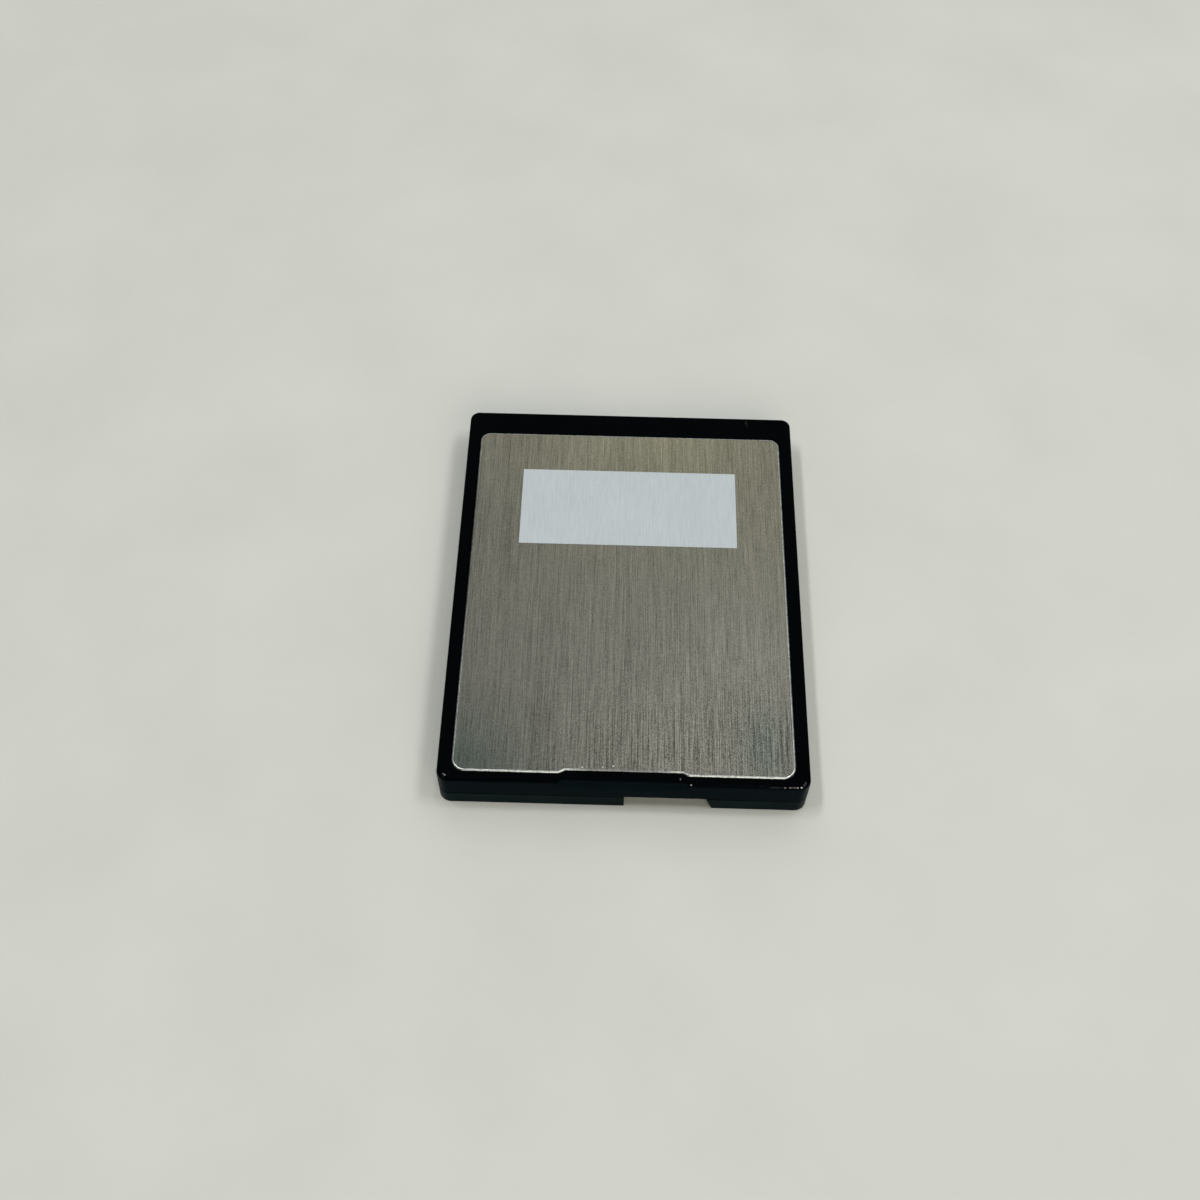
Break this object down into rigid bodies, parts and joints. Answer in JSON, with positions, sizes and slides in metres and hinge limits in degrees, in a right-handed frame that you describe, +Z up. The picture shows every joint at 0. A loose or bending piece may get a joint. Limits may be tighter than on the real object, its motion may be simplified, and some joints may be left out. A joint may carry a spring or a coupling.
{
  "type": "memory card",
  "caption": "Flat rectangular camera memory card: black two-part frame, brushed steel covers, white write-on panel, finger notch and keyed connector slot.",
  "frame": {"origin": "middle of the face that the card rests on, with the back cover up", "axes": "+Y towards the connector end, +X to the right seen from the grip end with the back cover up, +Z up through the back cover"},
  "size_m": [0.0298, 0.0384, 0.0038],
  "materials": {
    "cover_steel": "brushed along the card",
    "panel_white": "matt print over brushed steel",
    "bond_film": "adhesive film",
    "frame_black": "moulded, glossy rim and satin ends",
    "board_laminate": "solder mask",
    "chip_case": "moulded epoxy",
    "inductor_case": "pressed ferrite",
    "crystal_can": "drawn metal can",
    "capacitor_ceramic": "fired ceramic",
    "resistor_film": "coated film",
    "housing_black": "moulded, satin",
    "contact_gold": "gold plated"
  },
  "bodies": {
    "root": {"back_cover": "cover_steel", "write_on_panel": "panel_white", "back_film": "bond_film", "upper_frame": "frame_black", "lower_frame": "frame_black", "front_film": "bond_film", "front_cover": "cover_steel", "circuit_board": "board_laminate", "flash_back_left": "chip_case", "flash_back_right": "chip_case", "flash_front_left": "chip_case", "flash_front_right": "chip_case", "controller_chip": "chip_case", "voltage_regulator": "chip_case", "power_inductor": "inductor_case", "clock_crystal": "crystal_can", "ceramic_capacitors": "capacitor_ceramic", "chip_resistors": "resistor_film", "connector_housing": "housing_black", "power_contacts": "contact_gold", "data_contacts": "contact_gold"}
  },
  "joints": []
}
